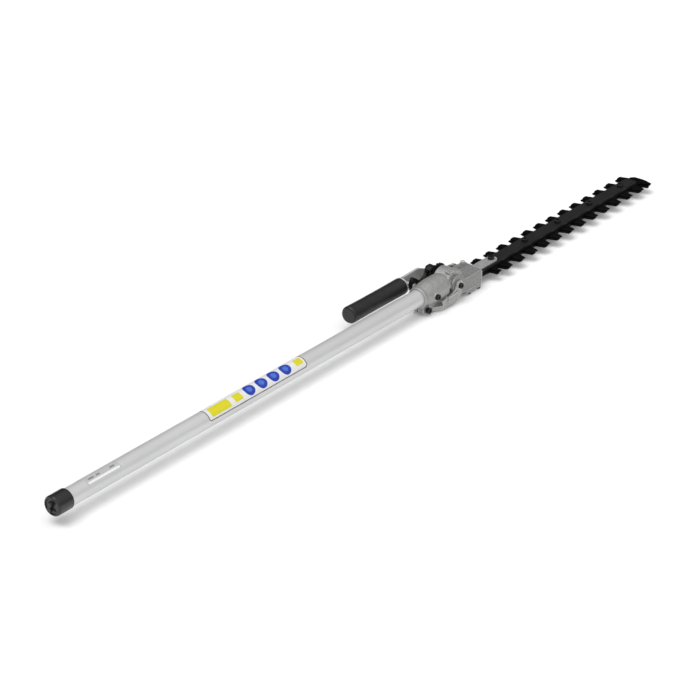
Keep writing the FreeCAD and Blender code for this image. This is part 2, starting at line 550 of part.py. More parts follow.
def near_cover():
    """Flush cover over the gear train, bored for the pivot screw that runs in it."""
    cover = near_ear(NEAR_FACE_Y, NEAR_COVER_Y)
    cover = cover.cut(cyl(3.0 + FIT, (PIVOT_X, -30, 0), (PIVOT_X, -10, 0)))
    for x, z in NEAR_SCREWS:
        cover = cover.cut(cyl(1.15, (x, -30, z), (x, -10, z)))
        cover = cover.cut(cyl(1.95, (x, -30, z), (x, NEAR_FACE_Y + 0.9, z)))
    return cover


def bottom_cover():
    """Screwed plate under the crank, with a boss for the crank's lower bearing."""
    plate = block((CRANK_X - 13.0, NEAR_FACE_Y, CASE_BOTTOM_Z - 3.2),
                  (CASE_FRONT_X - 2.5, -NEAR_FACE_Y, CASE_BOTTOM_Z - 0.8))
    plate = rounded(plate, 3.0, along(Z))
    boss = cyl(10.0, (CRANK_X, 0, CASE_BOTTOM_Z - 1), (CRANK_X, 0, -18.2))
    cover = fuse([plate, boss]).cut(cyl(BEARING_R + SEATED, (CRANK_X, 0, -22.8), (CRANK_X, 0, -18)))
    for x, y in BOTTOM_SCREWS:
        cover = cover.cut(cyl(1.7, (x, y, -30), (x, y, 0)))
    return cover


def cover_gasket():
    """Thin gasket between the case and its bottom cover."""
    ring = block((CRANK_X - 13.0, NEAR_FACE_Y, CASE_BOTTOM_Z - 0.8),
                 (CASE_FRONT_X - 2.5, -NEAR_FACE_Y, CASE_BOTTOM_Z))
    ring = rounded(ring, 3.0, along(Z)).cut(
        block((CRANK_X - 11.4, -16, -30), (CASE_FRONT_X - 5, 16, 0)))
    for x, y in BOTTOM_SCREWS:
        ring = ring.cut(cyl(1.7, (x, y, -30), (x, y, 0)))
    return ring


def front_plate():
    """Bright plate screwed over the case's mouth, with the slot that the blades come out of."""
    outline = [(-16.5, -20.0), (16.5, -20.0), (19.0, -17.5), (19.0, -1.2), (17.6, 0.8), (-17.6, 0.8),
               (-19.0, -1.2), (-19.0, -17.5)]
    plate = prism(outline, "X", CASE_FRONT_X - 1.5, CASE_FRONT_X + 1.0)
    plate = plate.cut(block((CASE_FRONT_X - 3, -14.2, LOWER_Z - 0.6),
                            (CASE_FRONT_X + 3, 14.2, BAR_Z + BAR_T + 0.1)))
    for y in FRONT_SCREW_YS:
        hole = cyl(1.45, (CASE_FRONT_X - 3, y, FRONT_SCREW_Z), (CASE_FRONT_X + 3, y, FRONT_SCREW_Z))
        plate = plate.cut(hole)
    return plate


# ---- blades ----
def tooth(centre, root_y, tip_y, root_half, tip_half, z, grind_up):
    """A tooth with its flanks ground back by a bevel on one face."""
    side = 1 if tip_y > root_y else -1
    inner_y = root_y - side * 1.5
    grind = 1.3
    full = [(centre - root_half, inner_y), (centre + root_half, inner_y), (centre + root_half, root_y),
            (centre + tip_half, tip_y), (centre - tip_half, tip_y), (centre - root_half, root_y)]
    slim = [(centre - root_half + grind, inner_y), (centre + root_half - grind, inner_y),
            (centre + root_half - grind, root_y), (centre + tip_half - grind, tip_y - side * 0.8),
            (centre - tip_half + grind, tip_y - side * 0.8), (centre - root_half + grind, root_y)]
    flat = 0.7
    low_ring, high_ring = (full, slim) if grind_up else (slim, full)
    levels = (z, z + flat, z + BLADE_T) if grind_up else (z, z + BLADE_T - flat, z + BLADE_T)
    wires = []
    for ring, level in ((low_ring, levels[0]), (low_ring if grind_up else high_ring, levels[1]),
                        (high_ring, levels[2])):
        corners = [V(x, y, level) for x, y in ring]
        wires.append(Part.makePolygon(corners + corners[:1]))
    return Part.makeLoft(wires, True, True)


def blade(z, shift, grind_up):
    """One of the two toothed blades: a long body, slots for the guide bushes and a tee-shaped tail."""
    body = prism([(BLADE_TAIL_X, -12.5), (BLADE_TAIL_X + 22, -12.5), (BLADE_TAIL_X + 27, -BLADE_BODY),
                  (BLADE_END_X - 10, -BLADE_BODY), (BLADE_END_X, -9.0), (BLADE_END_X, 8.0),
                  (BLADE_END_X - 5, 12.5), (BLADE_END_X - 12, BLADE_BODY), (BLADE_TAIL_X + 27, BLADE_BODY),
                  (BLADE_TAIL_X + 22, 12.5), (BLADE_TAIL_X, 12.5)], "Z", z, z + BLADE_T)
    neck = block((LINK_X1 - 1, -4.5, z), (BLADE_TAIL_X + 1, 4.5, z + BLADE_T))
    head = block((LINK_X1 - 6, -8.0, z), (LINK_X1 - 1, 8.0, z + BLADE_T))
    pieces = [body, neck, head]
    for i in range(FAR_TEETH):
        pieces.append(tooth(FAR_TOOTH_X + PITCH * i, BLADE_BODY, BLADE_HALF, TOOTH_ROOT, TOOTH_TIP, z,
                            grind_up))
    for i in range(NEAR_TEETH):
        pieces.append(tooth(NEAR_TOOTH_X + PITCH * i, -BLADE_BODY, -BLADE_HALF, TOOTH_ROOT, TOOTH_TIP, z,
                            grind_up))
    pieces.append(tooth(FAR_TOOTH_X - 8.5, -BLADE_BODY, -BLADE_HALF + 2, 4.6, 3.0, z, grind_up))
    hook = prism([(BLADE_END_X - 16, -BLADE_BODY + 1), (BLADE_END_X - 1, -BLADE_BODY + 6),
                  (BLADE_END_X - 0.6, -12.0), (BLADE_END_X - 5.5, -BLADE_HALF + 1.5),
                  (BLADE_END_X - 11.5, -BLADE_HALF + 0.5)], "Z", z, z + BLADE_T)
    pieces.append(hook)
    whole = fuse(pieces)
    whole.translate(V(shift, 0, 0))
    reach = CRANK_THROW + REST_SHIFT + 0.4
    slot_r = BUSH_R + 0.15
    for x in SCREW_XS:
        rear = x + shift - reach
        front = x + shift + reach
        slot = fuse([cyl(slot_r, (rear, 0, z - 1), (rear, 0, z + 4)),
                     cyl(slot_r, (front, 0, z - 1), (front, 0, z + 4)),
                     block((rear, -slot_r, z - 1), (front, slot_r, z + 4))])
        whole = whole.cut(slot)
    return whole


def blade_link(z, shift):
    """Forked link between a blade's tail and its eccentric; its prongs are open to the rear."""
    plate = rounded(block((LINK_X0, -LINK_HALF, z), (LINK_X1, LINK_HALF, z + BLADE_T)), 2.0, along(Z))
    plate = plate.cut(block((LINK_X0 - 1, -11.6, z - 1), (CRANK_X + 15.9, 11.6, z + 4)))
    plate = plate.cut(block((LINK_X1 - 6.05, -8.05, z - 1), (LINK_X1 - 0.95, 8.05, z + 4)))
    plate = plate.cut(block((LINK_X1 - 2, -4.55, z - 1), (LINK_X1 + 1, 4.55, z + 4)))
    plate.translate(V(shift, 0, 0))
    return plate


def blade_bar():
    """Black support bar that the blades slide under."""
    bar = block((CASE_FRONT_X - 4, -BAR_HALF, BAR_Z), (BAR_END_X, BAR_HALF, BAR_Z + BAR_T))
    bar = rounded(bar, 6.0, lambda edge: along(Z)(edge) and edge.CenterOfMass.x > BAR_END_X - 1)
    bar = bar.makeChamfer(0.7, [edge for edge in bar.Edges
                                if along(X)(edge) and edge.CenterOfMass.z > BAR_Z + BAR_T - 0.1])
    for x in SCREW_XS:
        bar = bar.cut(cyl(SCREW_BORE_R, (x, 0, BAR_Z - 1), (x, 0, BAR_Z + BAR_T + 1)))
    return bar


def guide_tongue():
    """Plate on the bar's root: a round-ended tongue, with a raised lip across its rear end."""
    top = BAR_Z + BAR_T
    rear = CASE_FRONT_X + 10.0
    lip = block((rear, -TONGUE_HALF, top), (rear + 1.4, 17.5, top + TONGUE_T + 1.0))
    strip = block((rear, -TONGUE_HALF, top), (rear + 3.0, 17.5, top + TONGUE_T))
    tongue = block((rear, -TONGUE_HALF, top), (SCREW_XS[0] + 1.5, TONGUE_HALF, top + TONGUE_T))
    nose = cyl(TONGUE_HALF, (SCREW_XS[0] + 1.5, 0, top), (SCREW_XS[0] + 1.5, 0, top + TONGUE_T))
    plate = fuse([lip, strip, tongue, nose])
    return plate.cut(cyl(SCREW_BORE_R, (SCREW_XS[0], 0, top - 1), (SCREW_XS[0], 0, top + 5)))


def blade_screws():
    screws = []
    for i, x in enumerate(SCREW_XS):
        seat = BAR_Z + BAR_T + (TONGUE_T if i == 0 else 0)
        screws.append(socket_screw((x, 0, seat), (0, 0, -1), 5.2, 4.6, 3.0, seat - (LOWER_Z - 5.4), 2.4))
    return Part.makeCompound(screws)


def blade_bushes():
    return Part.makeCompound([tube(BUSH_R, SCREW_BORE_R, (x, 0, LOWER_Z - 0.2), (x, 0, BAR_Z))
                              for x in SCREW_XS])


def blade_washers():
    return Part.makeCompound([tube(7.5, SCREW_BORE_R, (x, 0, LOWER_Z - 1.6), (x, 0, LOWER_Z - 0.2))
                              for x in SCREW_XS])


def blade_nuts():
    nuts = []
    for x in SCREW_XS:
        turns = [math.radians(60 * i) for i in range(6)]
        ring = [(x + 5.2 * math.cos(turn), 5.2 * math.sin(turn)) for turn in turns]
        nuts.append(prism(ring, "Z", LOWER_Z - 5.6, LOWER_Z - 1.6).cut(
            cyl(3.0, (x, 0, LOWER_Z - 7), (x, 0, LOWER_Z))))
    return Part.makeCompound(nuts)


# ---- side handle and lock ----
def handle_arm():
    """Cast arm from the blade case's side to the grip, cranked outwards past the index plate."""
    inner = [(CRANK_X + 25, ARM_FACE_Y), (CRANK_X - 4, ARM_FACE_Y), (826, GRIP_Y - ARM_T / 2),
             (GRIP_X1 + 3.1, GRIP_Y - ARM_T / 2)]
    outer = [(GRIP_X1 + 3.1, GRIP_Y + ARM_T / 2), (827, GRIP_Y + ARM_T / 2),
             (CRANK_X - 3, ARM_FACE_Y + ARM_T), (CRANK_X + 25, ARM_FACE_Y + ARM_T)]
    strap = prism(inner + outer, "Z", -9.0, 14.8)
    side = prism([(GRIP_X1 + 3, -8.5), (GRIP_X1 + 3, 13.8), (802, 14.2), (817, 14.8), (823, 13.4),
                  (829, 10.6), (CRANK_X - 2, 5.0), (CRANK_X + 20, 3.6), (CRANK_X + 25, 0.0),
                  (CRANK_X + 25, -7.0),
                  (CRANK_X + 22, -9.0), (CRANK_X - 5, -9.0), (832, -6.5), (806, -6.5)], "Y", 0, 80)
    arm = strap.common(side)
    rib = block((GRIP_X1 + 5, GRIP_Y - 2.0, -7.0), (820, GRIP_Y + 4.6, -4.2))
    rod = cyl(ROD_R, (GRIP_X0 + 12, GRIP_Y, 0), (GRIP_X1 + 7, GRIP_Y, 0))
    arm = fuse([arm, rib, rod])
    arm = arm.cut(cyl(2.55, (LEVER_X, 20, 0), (LEVER_X, 60, 0)))
    for x, z in ARM_SCREWS:
        arm = arm.cut(cyl(2.3, (x, 0, z), (x, 60, z)))
    return arm.removeSplitter()


def handle_grip():
    """Moulded grip, slightly waisted, closed at its free end."""
    grip = turned([(GRIP_X0, 0), (GRIP_X0, GRIP_R - 3.0), (GRIP_X0 + 0.8, GRIP_R - 1.2),
                   (GRIP_X0 + 2.6, GRIP_R - 0.1), (GRIP_X0 + 6, GRIP_R),
                   (GRIP_X0 + 40, GRIP_R - 0.4), (GRIP_X1 - 40, GRIP_R - 0.4),
                   (GRIP_X1 - 2, GRIP_R), (GRIP_X1, GRIP_R - 1.0), (GRIP_X1, 0)])
    grip = grip.cut(cyl(ROD_R + FIT, (GRIP_X0 + 11.8, 0, 0), (GRIP_X1 + 1, 0, 0)))
    grip.translate(V(0, GRIP_Y, 0))
    return grip


def grip_collar():
    """Thin collar between the grip and the arm."""
    ring = turned([(GRIP_X1 + 0.1, ROD_R + FIT), (GRIP_X1 + 0.1, 12.2), (GRIP_X1 + 1.0, 12.8),
                   (GRIP_X1 + 2.6, 12.8), (GRIP_X1 + 2.9, 12.4), (GRIP_X1 + 2.9, ROD_R + FIT)])
    ring.translate(V(0, GRIP_Y, 0))
    return ring


def lock_lever():
    """Sprung lever on its pin by the grip: it rises, cranks inwards, and ends in a pawl over the plate."""
    bar = prism([(783.0, -5.5), (786, -7.5), (797, -3.6), (804.5, -4.0), (815, -3.0), (826.5, -1.0),
                 (834.5, 4.2), (841, 10.4), (839.5, 16.5), (836, 18.2), (829.5, 16.6), (822.5, 10.0),
                 (816, 4.4), (810, 1.8), (804.5, 2.6), (799.5, 6.6), (795, 10.4), (790, 13.4),
                 (786, 13.8), (783.6, 11.0)], "Y", 29.4, 34.4)
    bar = rounded(bar, 1.0, along(Y))
    neck = prism([(815.5, 13.5), (822.5, 8.0), (832.5, 13.5), (829.5, 22.6), (819.5, 22.6)], "Y", 25.2, 30.5)
    pawl = prism([(814.5, 16.9), (818.0, 20.2), (822.0, 22.6), (822.5, 25.0), (818.0, 24.4),
                  (813.5, 20.5)], "Y", INDEX_Y + 0.2, 26.0)
    hub = cyl(5.6, (LEVER_X, 29.0, 0), (LEVER_X, 37.2, 0))
    lever = fuse([bar, neck, pawl, hub])
    return lever.cut(cyl(LEVER_PIN_R + FIT, (LEVER_X, 20, 0), (LEVER_X, 60, 0)))


def lever_pin():
    """Shouldered pin with a bright domed head on the near side and a riveted end on the far side."""
    pin = cyl(LEVER_PIN_R, (LEVER_X, 28.6, 0), (LEVER_X, GRIP_Y + 3.2, 0))
    head = Part.makeSphere(5.0, V(LEVER_X, 31.4, 0)).common(block((780, 26.0, -10), (810, 28.9, 10)))
    rivet = cyl(3.8, (LEVER_X, GRIP_Y + 2.0, 0), (LEVER_X, GRIP_Y + 3.4, 0))
    return fuse([pin, head, rivet])


def lever_spring():
    """Torsion spring round the lever's pin, drawn as its turns side by side with two legs."""
    turns = [Part.makeTorus(4.2, 0.6, V(LEVER_X, 37.9 + 1.22 * i, 0), Y) for i in range(4)]
    leg = cyl(0.6, (LEVER_X - 4.2, 41.56, 0), (LEVER_X - 4.2, 41.56, 9.0))
    return fuse(turns + [leg])


# ---- fasteners ----
def group(*screws):
    return Part.makeCompound(list(screws))


def near_screws():
    return group(*[socket_screw((x, NEAR_FACE_Y + 0.9, z), (0, 1, 0), 1.9, 0.9, 1.1, 4.0, 0.9)
                   for x, z in NEAR_SCREWS])


def bottom_screws():
    seat = CASE_BOTTOM_Z - 3.2
    return group(*[socket_screw((x, y, seat), (0, 0, 1), 2.9, 3.0, 1.6, 5.2, 1.5) for x, y in BOTTOM_SCREWS])


def arm_screws():
    seat = ARM_FACE_Y + ARM_T
    return group(*[socket_screw((x, seat, z), (0, -1, 0), 4.2, 3.6, 1.8, 15.0, 2.1) for x, z in ARM_SCREWS])


def cover_screws():
    screws = []
    for angle in COVER_SCREW_ANGLES:
        x, z = ring_point(COVER_SCREW_R, angle)
        screws.append(cyl(1.5, (x, 11.2, z), (x, DRUM_HALF - 0.2, z)))
    return group(*screws)


def front_plate_screws():
    return group(*[socket_screw((CASE_FRONT_X + 1.0, y, FRONT_SCREW_Z), (-1, 0, 0), 2.6, 2.0, 1.4, 6.0, 1.2)
                   for y in FRONT_SCREW_YS])


parts = {
    "pole_tube": pole_tube(),
    "end_cap": end_cap(),
    "shaft_bushes": shaft_bushes(),
    "rating_label": wrap(31.5, 94.0, 84, 141, POLE_R, 0.12),
    "warning_label": wrap(268.0, 481.0, 62, 173, POLE_R, 0.12),
    "rear_gear_case": rear_gear_case(),
    "clamp_screw": socket_screw((CLAMP_X, -13.0, CLAMP_Z), (0, 1, 0), 4.9, 5.0, 3.0, 22.0, 2.4),
    "locating_screw": socket_screw((LOCATING_X, NEAR_FACE_Y, 0), (0, 1, 0), 4.6, 4.6, 2.9, 9.8, 2.4),
    "input_bearing": input_bearing(),
    "bearing_circlip": bearing_circlip(),
    "cross_bearing_near": ball_bearing(BEARING_R, SHAFT_R + SEATED, (PIVOT_X, -15.5, 0), (PIVOT_X, -11.5, 0)),
    "cross_bearing_far": ball_bearing(BEARING_R, SHAFT_R + SEATED, (PIVOT_X, 11.2, 0), (PIVOT_X, 15.2, 0)),
    "drum_cover": drum_cover(),
    "drum_cover_screws": cover_screws(),
    "index_plate": index_plate(),
    "index_washer": index_washer(),
    "index_screw": socket_screw((PIVOT_X, INDEX_Y + INDEX_T + 1.2, 0), (0, -1, 0), 3.4, 2.2, 1.5, 4.0, 1.5),
    "drive_shaft": drive_shaft(),
    "input_pinion": input_pinion(),
    "cross_shaft": cross_shaft(),
    "cross_bevel_gear": cross_bevel_gear(),
    "cross_spur_gear": cross_spur_gear(),
    "jack_shaft": jack_shaft(),
    "jack_spur_gear": jack_spur_gear(),
    "jack_bevel_gear": jack_bevel_gear(),
    "idler_gear": idler_gear(),
    "idler_pin": idler_pin(),
    "jack_bearing": ball_bearing(JACK_BEARING_R, JACK_R + SEATED,
                                 (CRANK_X, -15.8, JACK_Z), (CRANK_X, -12.6, JACK_Z)),
    "crank_gear": crank_gear(),
    "crank_top_bush": tube(CRANK_BUSH_R, 3.0 + FIT, (CRANK_X, 0, 0.9), (CRANK_X, 0, 4.9)),
    "crank_bearing": ball_bearing(BEARING_R, SHAFT_R + SEATED, (CRANK_X, 0, -22.6), (CRANK_X, 0, -18.4)),
    "blade_gear_case": blade_gear_case(),
    "near_cover": near_cover(),
    "near_cover_screws": near_screws(),
    "pivot_washer": tube(6.4, 3.05, (PIVOT_X, BRACKET_Y0 - 1.6, 0), (PIVOT_X, BRACKET_Y0 - 0.6, 0)),
    "pivot_screw": socket_screw((PIVOT_X, BRACKET_Y0 - 1.6, 0), (0, 1, 0), 4.6, 3.4, 3.0, 5.2, 2.3),
    "bottom_cover": bottom_cover(),
    "bottom_cover_screws": bottom_screws(),
    "cover_gasket": cover_gasket(),
    "front_plate": front_plate(),
    "front_plate_screws": front_plate_screws(),
    "grease_plug": socket_screw((PLUG_X, 8.5, PLUG_Z), (0, 0, -1), 3.2, 1.6, 2.55, 5.0, 1.7),
    "upper_blade": blade(UPPER_Z, REST_SHIFT, True),
    "lower_blade": blade(LOWER_Z, -REST_SHIFT, False),
    "upper_link": blade_link(UPPER_Z, REST_SHIFT),
    "lower_link": blade_link(LOWER_Z, -REST_SHIFT),
    "blade_bar": blade_bar(),
    "guide_tongue": guide_tongue(),
    "blade_screws": blade_screws(),
    "blade_bushes": blade_bushes(),
    "blade_washers": blade_washers(),
    "blade_nuts": blade_nuts(),
    "handle_arm": handle_arm(),
    "arm_screws": arm_screws(),
    "handle_grip": handle_grip(),
    "grip_collar": grip_collar(),
    "lock_lever": lock_lever(),
    "lever_pin": lever_pin(),
    "lever_spring": lever_spring(),
}

os.makedirs("parts", exist_ok=True)
for name, shape in parts.items():
    shape.exportStep("parts/" + name + ".step")
    box = shape.BoundBox
    print("%-20s solids %d valid %s  x %.1f..%.1f  y %.1f..%.1f  z %.1f..%.1f" % (
        name, len(shape.Solids), shape.isValid(), box.XMin, box.XMax, box.YMin, box.YMax, box.ZMin, box.ZMax))
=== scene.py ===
"""Looks of the pole hedge trimmer: materials, printed labels, small pieces, stage, light and camera."""

import json
import math

import bmesh
import bpy
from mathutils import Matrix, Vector


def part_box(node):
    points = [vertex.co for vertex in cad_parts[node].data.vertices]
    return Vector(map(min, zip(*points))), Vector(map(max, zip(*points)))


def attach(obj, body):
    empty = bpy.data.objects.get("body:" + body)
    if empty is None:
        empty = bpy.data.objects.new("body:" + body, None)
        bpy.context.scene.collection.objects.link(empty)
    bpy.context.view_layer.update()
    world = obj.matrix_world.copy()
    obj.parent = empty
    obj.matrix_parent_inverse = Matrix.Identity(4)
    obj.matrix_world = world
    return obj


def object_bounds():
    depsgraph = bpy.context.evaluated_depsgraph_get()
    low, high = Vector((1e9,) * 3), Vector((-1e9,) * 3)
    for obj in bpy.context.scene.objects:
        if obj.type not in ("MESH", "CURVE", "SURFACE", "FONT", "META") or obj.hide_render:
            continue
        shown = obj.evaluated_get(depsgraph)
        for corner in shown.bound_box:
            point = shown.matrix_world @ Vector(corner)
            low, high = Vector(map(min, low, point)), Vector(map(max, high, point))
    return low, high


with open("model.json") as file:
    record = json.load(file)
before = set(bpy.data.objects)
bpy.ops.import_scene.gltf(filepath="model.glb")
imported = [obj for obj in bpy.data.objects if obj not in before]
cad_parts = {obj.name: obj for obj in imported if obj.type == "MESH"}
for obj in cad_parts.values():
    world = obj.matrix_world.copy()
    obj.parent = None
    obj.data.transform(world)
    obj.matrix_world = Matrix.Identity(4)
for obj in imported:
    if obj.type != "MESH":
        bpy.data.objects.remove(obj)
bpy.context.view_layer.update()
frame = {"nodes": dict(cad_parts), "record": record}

MM = 0.001

# ---- camera, metres ----
CAMERA_PLACE = Vector((-2.1322, -2.1261, 1.7144))
CAMERA_TARGET = Vector((0.5947, 0.0, -0.0215))
CAMERA_LENS_MM = 137.08
SENSOR_MM = 36.0

# ---- light ----
SKY_TOWARDS = (-0.22, -0.38, 0.90)     # where the surroundings are brightest
SKY_LOW = 0.06             # their brightness square to that and beyond
SKY_HIGH = 1.12            # and straight along it
SUN_STRENGTH = 1.25
SUN_FROM = (-0.35, 0.15, 1.0)
SUN_SPREAD = 40.0          # degrees, for soft shadows
FLOOR_GLOW = 0.12

# ---- castings ----
# Castings get a painted highlight along their edges: a lighter colour mixed in there.
EDGE_R = 1.3 * MM          # how far in from an edge the painted edge highlight reaches
EDGE_START = 0.98          # how far the rounded direction has to turn before the painted edge highlight starts (a cosine)
EDGE_FULL = 0.80           # and where the painted edge highlight is full
EDGE_HIGHLIGHT_BRIGHTEST = 0.85

# ---- printed labels on the pole, metres; angles run from +Y over +Z, in degrees ----
PRINT_T = 0.05 * MM
BORDER_W = 1.6 * MM
BORDER_IN = 0.4 * MM       # from the label's ends to its border
BORDER_FAR = 48.0
BORDER_NEAR = 172.0
PANEL_CORNER = 2 * MM
# name, start and end in millimetres from the label's tail end, far and near angle
PANELS = (
    ("large", 8.0, 49.0, 88, 153),
    ("tab", 58.5, 74.5, 92, 146),
    ("end", 192.5, 207.5, 90, 138),
)
DISC_R = 10.0 * MM
DISC_CENTRE_R = 4.6 * MM
DISC_FIRST = 93.0 * MM
DISC_PITCH = 26.3 * MM
DISC_COUNT = 4
DISC_ANGLE = 113.0
SMALL_BLOCKS = ((5, 11), (20, 7), (46, 9))     # start and length, millimetres from the tail end
PATCH_STEPS = 14           # flat pieces round the tube in a patch
CORNER_STEPS = 6
DISC_STEPS = 16


# ---- node helpers ----
class Nodes:
    """A material's node tree with short calls to add and join nodes."""

    def __init__(self, name):
        self.material = bpy.data.materials.new(name)
        self.material.use_nodes = True
        self.tree = self.material.node_tree
        self.tree.nodes.clear()
        self.shader = self.tree.nodes.new("ShaderNodeBsdfPrincipled")
        out = self.tree.nodes.new("ShaderNodeOutputMaterial")
        self.join(self.shader.outputs["BSDF"], out.inputs["Surface"])
        self.place = self.tree.nodes.new("ShaderNodeTexCoord").outputs["Object"]

    def join(self, source, target):
        self.tree.links.new(source, target)

    def scaled(self, scale):
        """Object coordinates, scaled along each axis."""
        node = self.tree.nodes.new("ShaderNodeMapping")
        node.inputs["Scale"].default_value = scale
        self.join(self.place, node.inputs["Vector"])
        return node.outputs["Vector"]

    def noise(self, scale, detail=3.0, stretch=(1, 1, 1), roughness=0.5):
        """Noise in object coordinates; a small stretch value draws it out along that axis."""
        node = self.tree.nodes.new("ShaderNodeTexNoise")
        node.inputs["Scale"].default_value = scale
        node.inputs["Detail"].default_value = detail
        node.inputs["Roughness"].default_value = roughness
        self.join(self.scaled(stretch), node.inputs["Vector"])
        return node.outputs["Fac"]

    def ramp(self, source, *stops):
        """Colours by value: stops are (position, (r, g, b))."""
        node = self.tree.nodes.new("ShaderNodeValToRGB")
        elements = node.color_ramp.elements
        while len(elements) < len(stops):
            elements.new(0.5)
        for element, (position, colour) in zip(elements, stops):
            element.position = position
            element.color = (*colour, 1.0)
        self.join(source, node.inputs["Fac"])
        return node.outputs["Color"]

    def spread(self, source, low, high):
        """Map a value from 0..1 to low..high."""
        node = self.tree.nodes.new("ShaderNodeMapRange")
        node.inputs["To Min"].default_value = low
        node.inputs["To Max"].default_value = high
        self.join(source, node.inputs["Value"])
        return node.outputs["Result"]

    def bump(self, source, height, strength=1.0, below=None):
        """Relief from a value, on top of the direction in below."""
        node = self.tree.nodes.new("ShaderNodeBump")
        node.inputs["Distance"].default_value = height
        node.inputs["Strength"].default_value = strength
        self.join(source, node.inputs["Height"])
        if below is not None:
            self.join(below, node.inputs["Normal"])
        return node.outputs["Normal"]

    def bevel(self):
        """The surface's direction with its edges rounded over."""
        node = self.tree.nodes.new("ShaderNodeBevel")
        node.samples = 8
        node.inputs["Radius"].default_value = EDGE_R
        return node.outputs["Normal"]

    def edges(self, rounded):
        """1 along edges, 0 on open faces: where the rounded direction leaves the true one."""
        true = self.tree.nodes.new("ShaderNodeNewGeometry").outputs["Normal"]
        dot = self.tree.nodes.new("ShaderNodeVectorMath")
        dot.operation = "DOT_PRODUCT"
        self.join(rounded, dot.inputs[0])
        self.join(true, dot.inputs[1])
        level = self.tree.nodes.new("ShaderNodeMapRange")
        level.inputs["From Min"].default_value = EDGE_START
        level.inputs["From Max"].default_value = EDGE_FULL
        self.join(dot.outputs["Value"], level.inputs["Value"])
        return level.outputs["Result"]

    def mix(self, amount, first, second):
        """The first colour where amount is 0, the plain second one where it is 1."""
        node = self.tree.nodes.new("ShaderNodeMix")
        node.data_type = "RGBA"
        self.join(amount, node.inputs["Factor"])
        self.join(first, node.inputs[6])
        node.inputs[7].default_value = (*second, 1.0)
        return node.outputs[2]

    def finish(self, colour, roughness, normal=None, metallic=0.0, coat=0.0, gloss=0.5):
        """Join the nodes to the shader, set its constants and give back the material."""
        self.join(colour, self.shader.inputs["Base Color"])
        self.join(roughness, self.shader.inputs["Roughness"])
        if normal is not None:
            self.join(normal, self.shader.inputs["Normal"])
        self.shader.inputs["Metallic"].default_value = metallic
        self.shader.inputs["Coat Weight"].default_value = coat
        self.shader.inputs["Specular IOR Level"].default_value = gloss
        return self.material


# ---- materials ----
def pole_material():
    """Satin drawn tube: faint marks along it and a slow change of tone."""
    nodes = Nodes("pole_aluminium")
    drawn = nodes.noise(900, 4, (0.02, 1, 1))
    patches = nodes.noise(14, 2, (0.5, 1, 1))
    colour = nodes.ramp(patches, (0.3, (0.60, 0.60, 0.605)), (0.7, (0.66, 0.66, 0.665)))
    normal = nodes.bump(drawn, 0.02 * MM, 0.35)
    return nodes.finish(colour, nodes.spread(drawn, 0.30, 0.42), normal, metallic=0.3)


def cast_material(name, dark, light, grain, height, rough, edge=2.6, metallic=0.35):
    """Blasted casting: fine grain, larger soft unevenness, slight tone changes and a painted highlight along
    its edges.
    """
    nodes = Nodes(name)
    fine = nodes.noise(grain, 5, roughness=0.65)
    soft = nodes.noise(grain / 14, 3)
    rounded = nodes.bevel()
    # painted highlight: the light colour raised by edge, up to a cap, and mixed in along the edges
    painted_edge_highlight = tuple(min(EDGE_HIGHLIGHT_BRIGHTEST, edge * c) for c in light)
    colour = nodes.mix(nodes.edges(rounded),
                       nodes.ramp(nodes.noise(grain / 6, 5), (0.32, dark), (0.68, light)), painted_edge_highlight)
    normal = nodes.bump(fine, height, 0.7, below=nodes.bump(soft, height * 4, 0.4))
    return nodes.finish(colour, nodes.spread(soft, rough - 0.07, rough + 0.09), normal, metallic=metallic)


def steel_material():
    """Machined bright steel with fine turning marks."""
    nodes = Nodes("bright_steel")
    marks = nodes.noise(1400, 3, (1, 0.15, 1))
    colour = nodes.ramp(marks, (0.3, (0.62, 0.61, 0.59)), (0.7, (0.80, 0.79, 0.77)))
    return nodes.finish(colour, nodes.spread(marks, 0.18, 0.34), nodes.bump(marks, 0.015 * MM, 0.5),
                        metallic=1.0)


def black_steel_material():
    """Black oxide on steel, worn a little greyer in patches."""
    nodes = Nodes("black_steel")
    patches = nodes.noise(260, 5)
    colour = nodes.ramp(patches, (0.35, (0.006, 0.006, 0.006)), (0.75, (0.014, 0.014, 0.014)))
    normal = nodes.bump(nodes.noise(2400, 3), 0.02 * MM, 0.6)
    return nodes.finish(colour, nodes.spread(patches, 0.30, 0.46), normal, metallic=0.2, gloss=0.3)


def blade_material():
    """Black coated blade with fine grinding lines across it."""
    nodes = Nodes("blade_black")
    grind = nodes.noise(1600, 4, (1, 0.04, 1))
    patches = nodes.noise(60, 4)
    colour = nodes.ramp(patches, (0.35, (0.0015, 0.0015, 0.0015)), (0.75, (0.004, 0.004, 0.004)))
    return nodes.finish(colour, nodes.spread(grind, 0.34, 0.52), nodes.bump(grind, 0.03 * MM, 0.6),
                        gloss=0.04)


def bar_material():
    """Black support bar, a little smoother and greyer on top than the blades."""
    nodes = Nodes("bar_black")
    rolled = nodes.noise(700, 4, (0.05, 1, 1))
    colour = nodes.ramp(rolled, (0.3, (0.007, 0.007, 0.007)), (0.7, (0.016, 0.016, 0.016)))
    return nodes.finish(colour, nodes.spread(rolled, 0.32, 0.50), nodes.bump(rolled, 0.03 * MM, 0.5),
                        gloss=0.25)


def plastic_material():
    """Soft black cap plastic: satin, with a fine leathery skin."""
    nodes = Nodes("cap_plastic")
    skin = nodes.noise(1500, 4)
    colour = nodes.ramp(nodes.noise(90, 3), (0.3, (0.006, 0.006, 0.006)), (0.7, (0.011, 0.011, 0.011)))
    return nodes.finish(colour, nodes.spread(skin, 0.22, 0.32), nodes.bump(skin, 0.02 * MM, 0.4),
                        coat=0.1, gloss=0.5)


